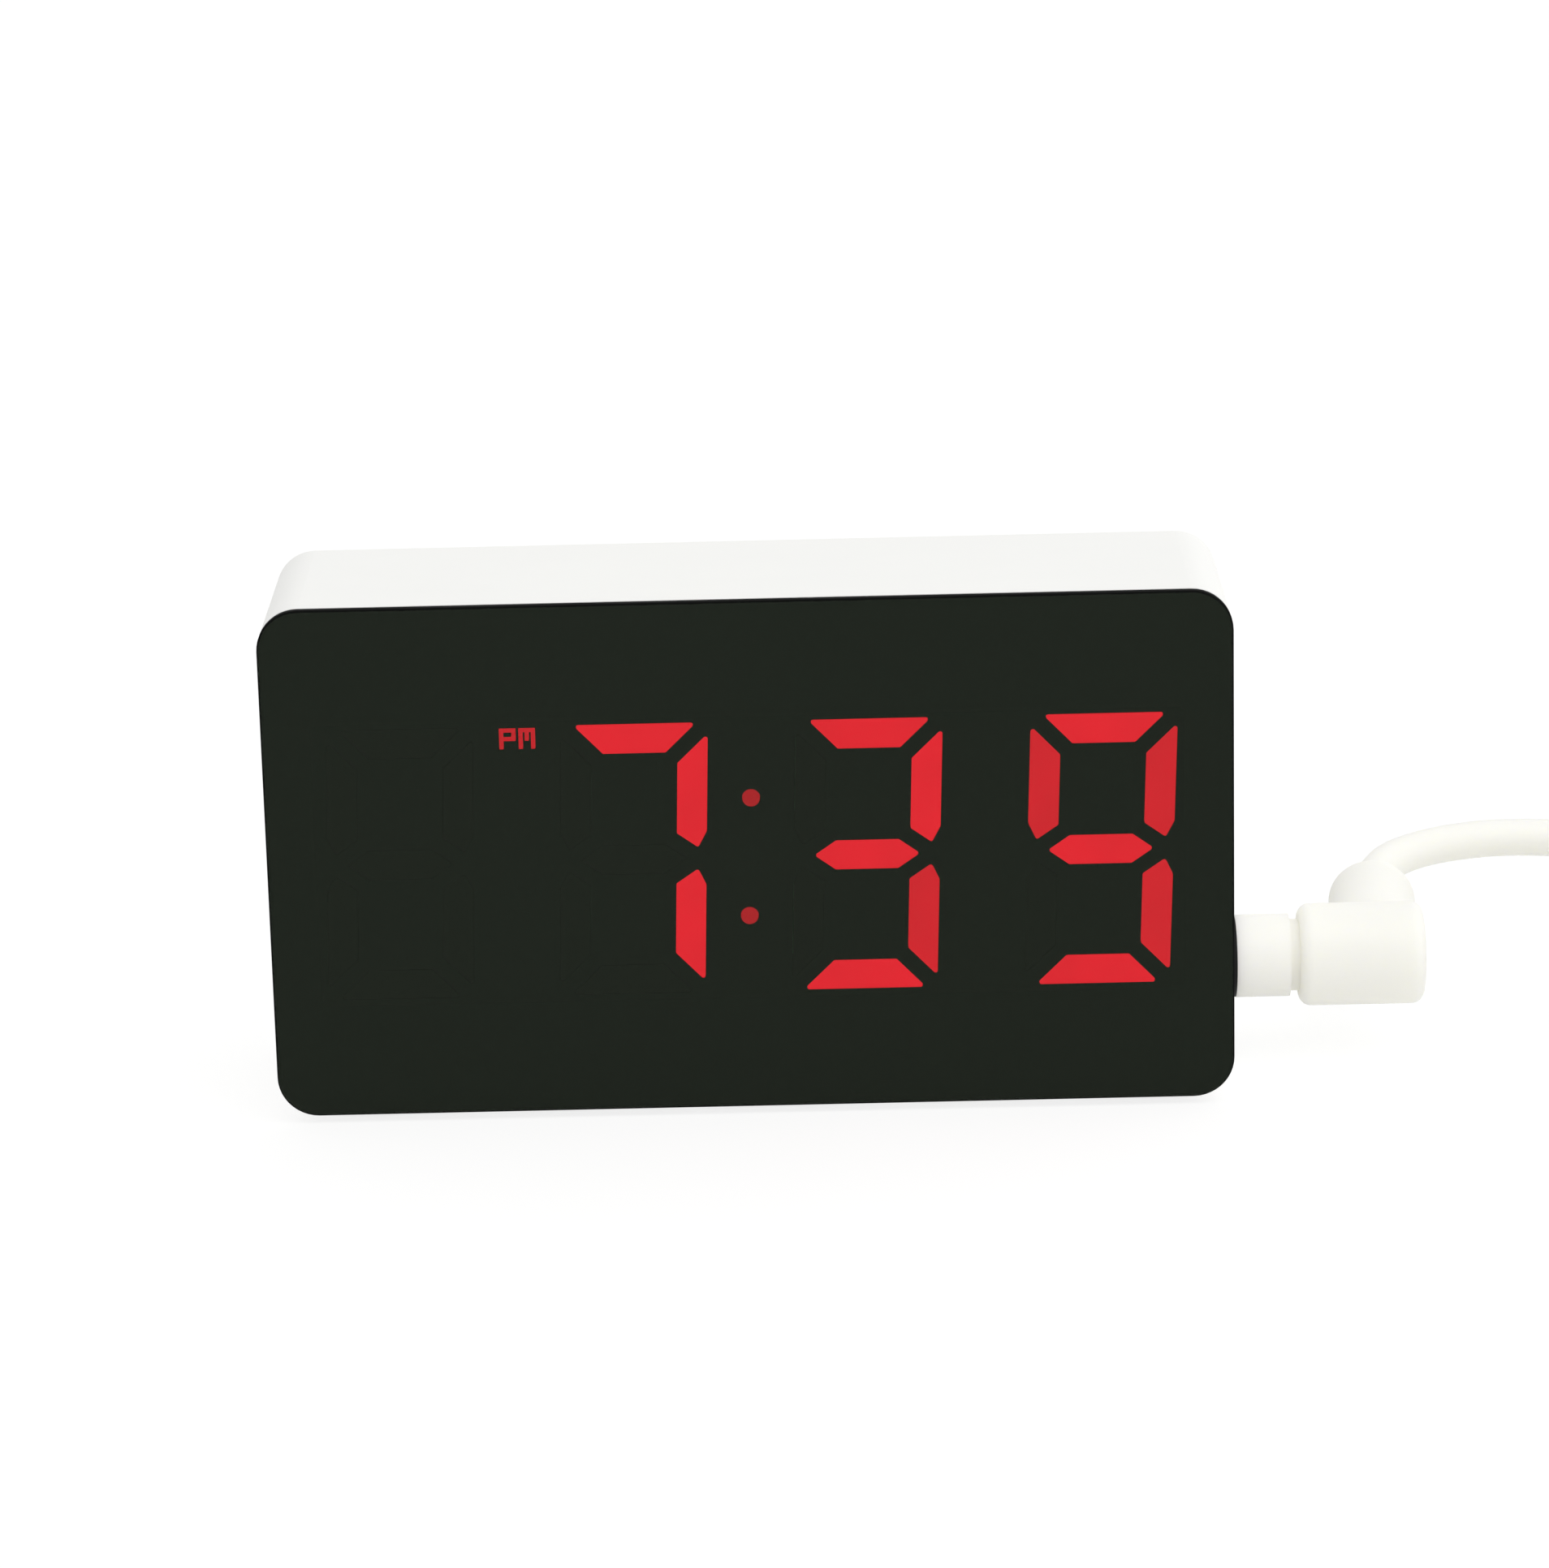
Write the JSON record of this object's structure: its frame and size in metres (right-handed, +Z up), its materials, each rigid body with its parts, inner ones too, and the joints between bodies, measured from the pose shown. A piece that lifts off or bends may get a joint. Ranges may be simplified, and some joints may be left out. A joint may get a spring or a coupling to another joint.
{
  "type": "mirror alarm clock",
  "caption": "Small table alarm clock with a dark mirror front, red seven-segment time display, white case, rear buttons and battery door, and a plug-in power lead.",
  "frame": {"origin": "on the table under the middle of the clock's case", "axes": "+Z up, +X to the right seen from the front, the display faces -Y"},
  "size_m": [0.2414, 0.0875, 0.0608],
  "materials": {
    "white_case": "satin white moulded plastic",
    "mirror_acrylic": "polished dark half-mirror acrylic",
    "tape": "black foam tape",
    "black_plastic": "black moulded plastic",
    "lit_red": "red diffuser, lit",
    "unlit_red": "red diffuser, unlit",
    "board": "green circuit board",
    "steel": "plated steel",
    "led": "clear lamp body",
    "cell": "printed metal can",
    "copper_wire": "insulated wire",
    "grey_button": "grey button plastic",
    "rubber": "soft rubber",
    "white_cord": "white soft vinyl",
    "tie": "woven hook-and-loop strap",
    "gold": "gold-plated contact"
  },
  "bodies": {
    "clock": {"mirror_panel": "mirror_acrylic", "panel_tape": "tape", "front_frame": "black_plastic", "segment_reflector": "black_plastic", "lit_segments": "lit_red", "dark_segments": "unlit_red", "colon_dots": "lit_red", "pm_mark": "lit_red", "segment_leds": "led", "display_board": "board", "board_screws": "steel", "control_chip": "black_plastic", "clock_crystal": "steel", "supply_capacitor": "cell", "buzzer": "black_plastic", "housing": "white_case", "case_screws": "steel", "rubber_feet": "rubber", "battery_cells": "cell", "battery_springs": "steel", "battery_contacts": "steel", "battery_wires": "copper_wire", "key_board": "board", "key_board_screws": "steel", "key_switches": "black_plastic", "key_ribbon": "tape", "power_socket": "black_plastic", "socket_pin": "steel"},
    "mode_key": {"mode_button": "grey_button", "mode_plunger": "black_plastic"},
    "up_key": {"up_button": "grey_button", "up_plunger": "black_plastic"},
    "down_key": {"down_button": "grey_button", "down_plunger": "black_plastic"},
    "alarm_key": {"alarm_button": "grey_button", "alarm_plunger": "black_plastic"},
    "battery_door": {"battery_door": "white_case"},
    "power_lead": {"plug_barrel": "steel", "plug_collar": "black_plastic", "plug_moulding": "white_cord", "lead_cord": "white_cord", "lead_coil": "white_cord", "lead_tail": "white_cord", "lead_tie": "tie", "usb_grip": "white_cord", "usb_shell": "steel", "usb_tongue": "white_case", "usb_contacts": "gold"}
  },
  "joints": [
    {"name": "mode_press", "type": "slide", "parent": "clock", "child": "mode_key", "axis": [0, -1, 0], "range_m": [0, 0.0005], "stiffness_N_per_m": 1500, "springref_m": -0.0003},
    {"name": "up_press", "type": "slide", "parent": "clock", "child": "up_key", "axis": [0, -1, 0], "range_m": [0, 0.0005], "stiffness_N_per_m": 1500, "springref_m": -0.0003},
    {"name": "down_press", "type": "slide", "parent": "clock", "child": "down_key", "axis": [0, -1, 0], "range_m": [0, 0.0005], "stiffness_N_per_m": 1500, "springref_m": -0.0003},
    {"name": "alarm_press", "type": "slide", "parent": "clock", "child": "alarm_key", "axis": [0, -1, 0], "range_m": [0, 0.0005], "stiffness_N_per_m": 1500, "springref_m": -0.0003},
    {"name": "battery_door_hinge", "type": "hinge", "parent": "clock", "child": "battery_door", "pos_m": [-0.02523, 0.01432, 0.0232], "axis": [0, 0, 1], "range_deg": [0, 95]},
    {"name": "plug_pull", "type": "slide", "parent": "clock", "child": "power_lead", "axis": [1, 0, 0], "range_m": [0, 0.012]}
  ]
}
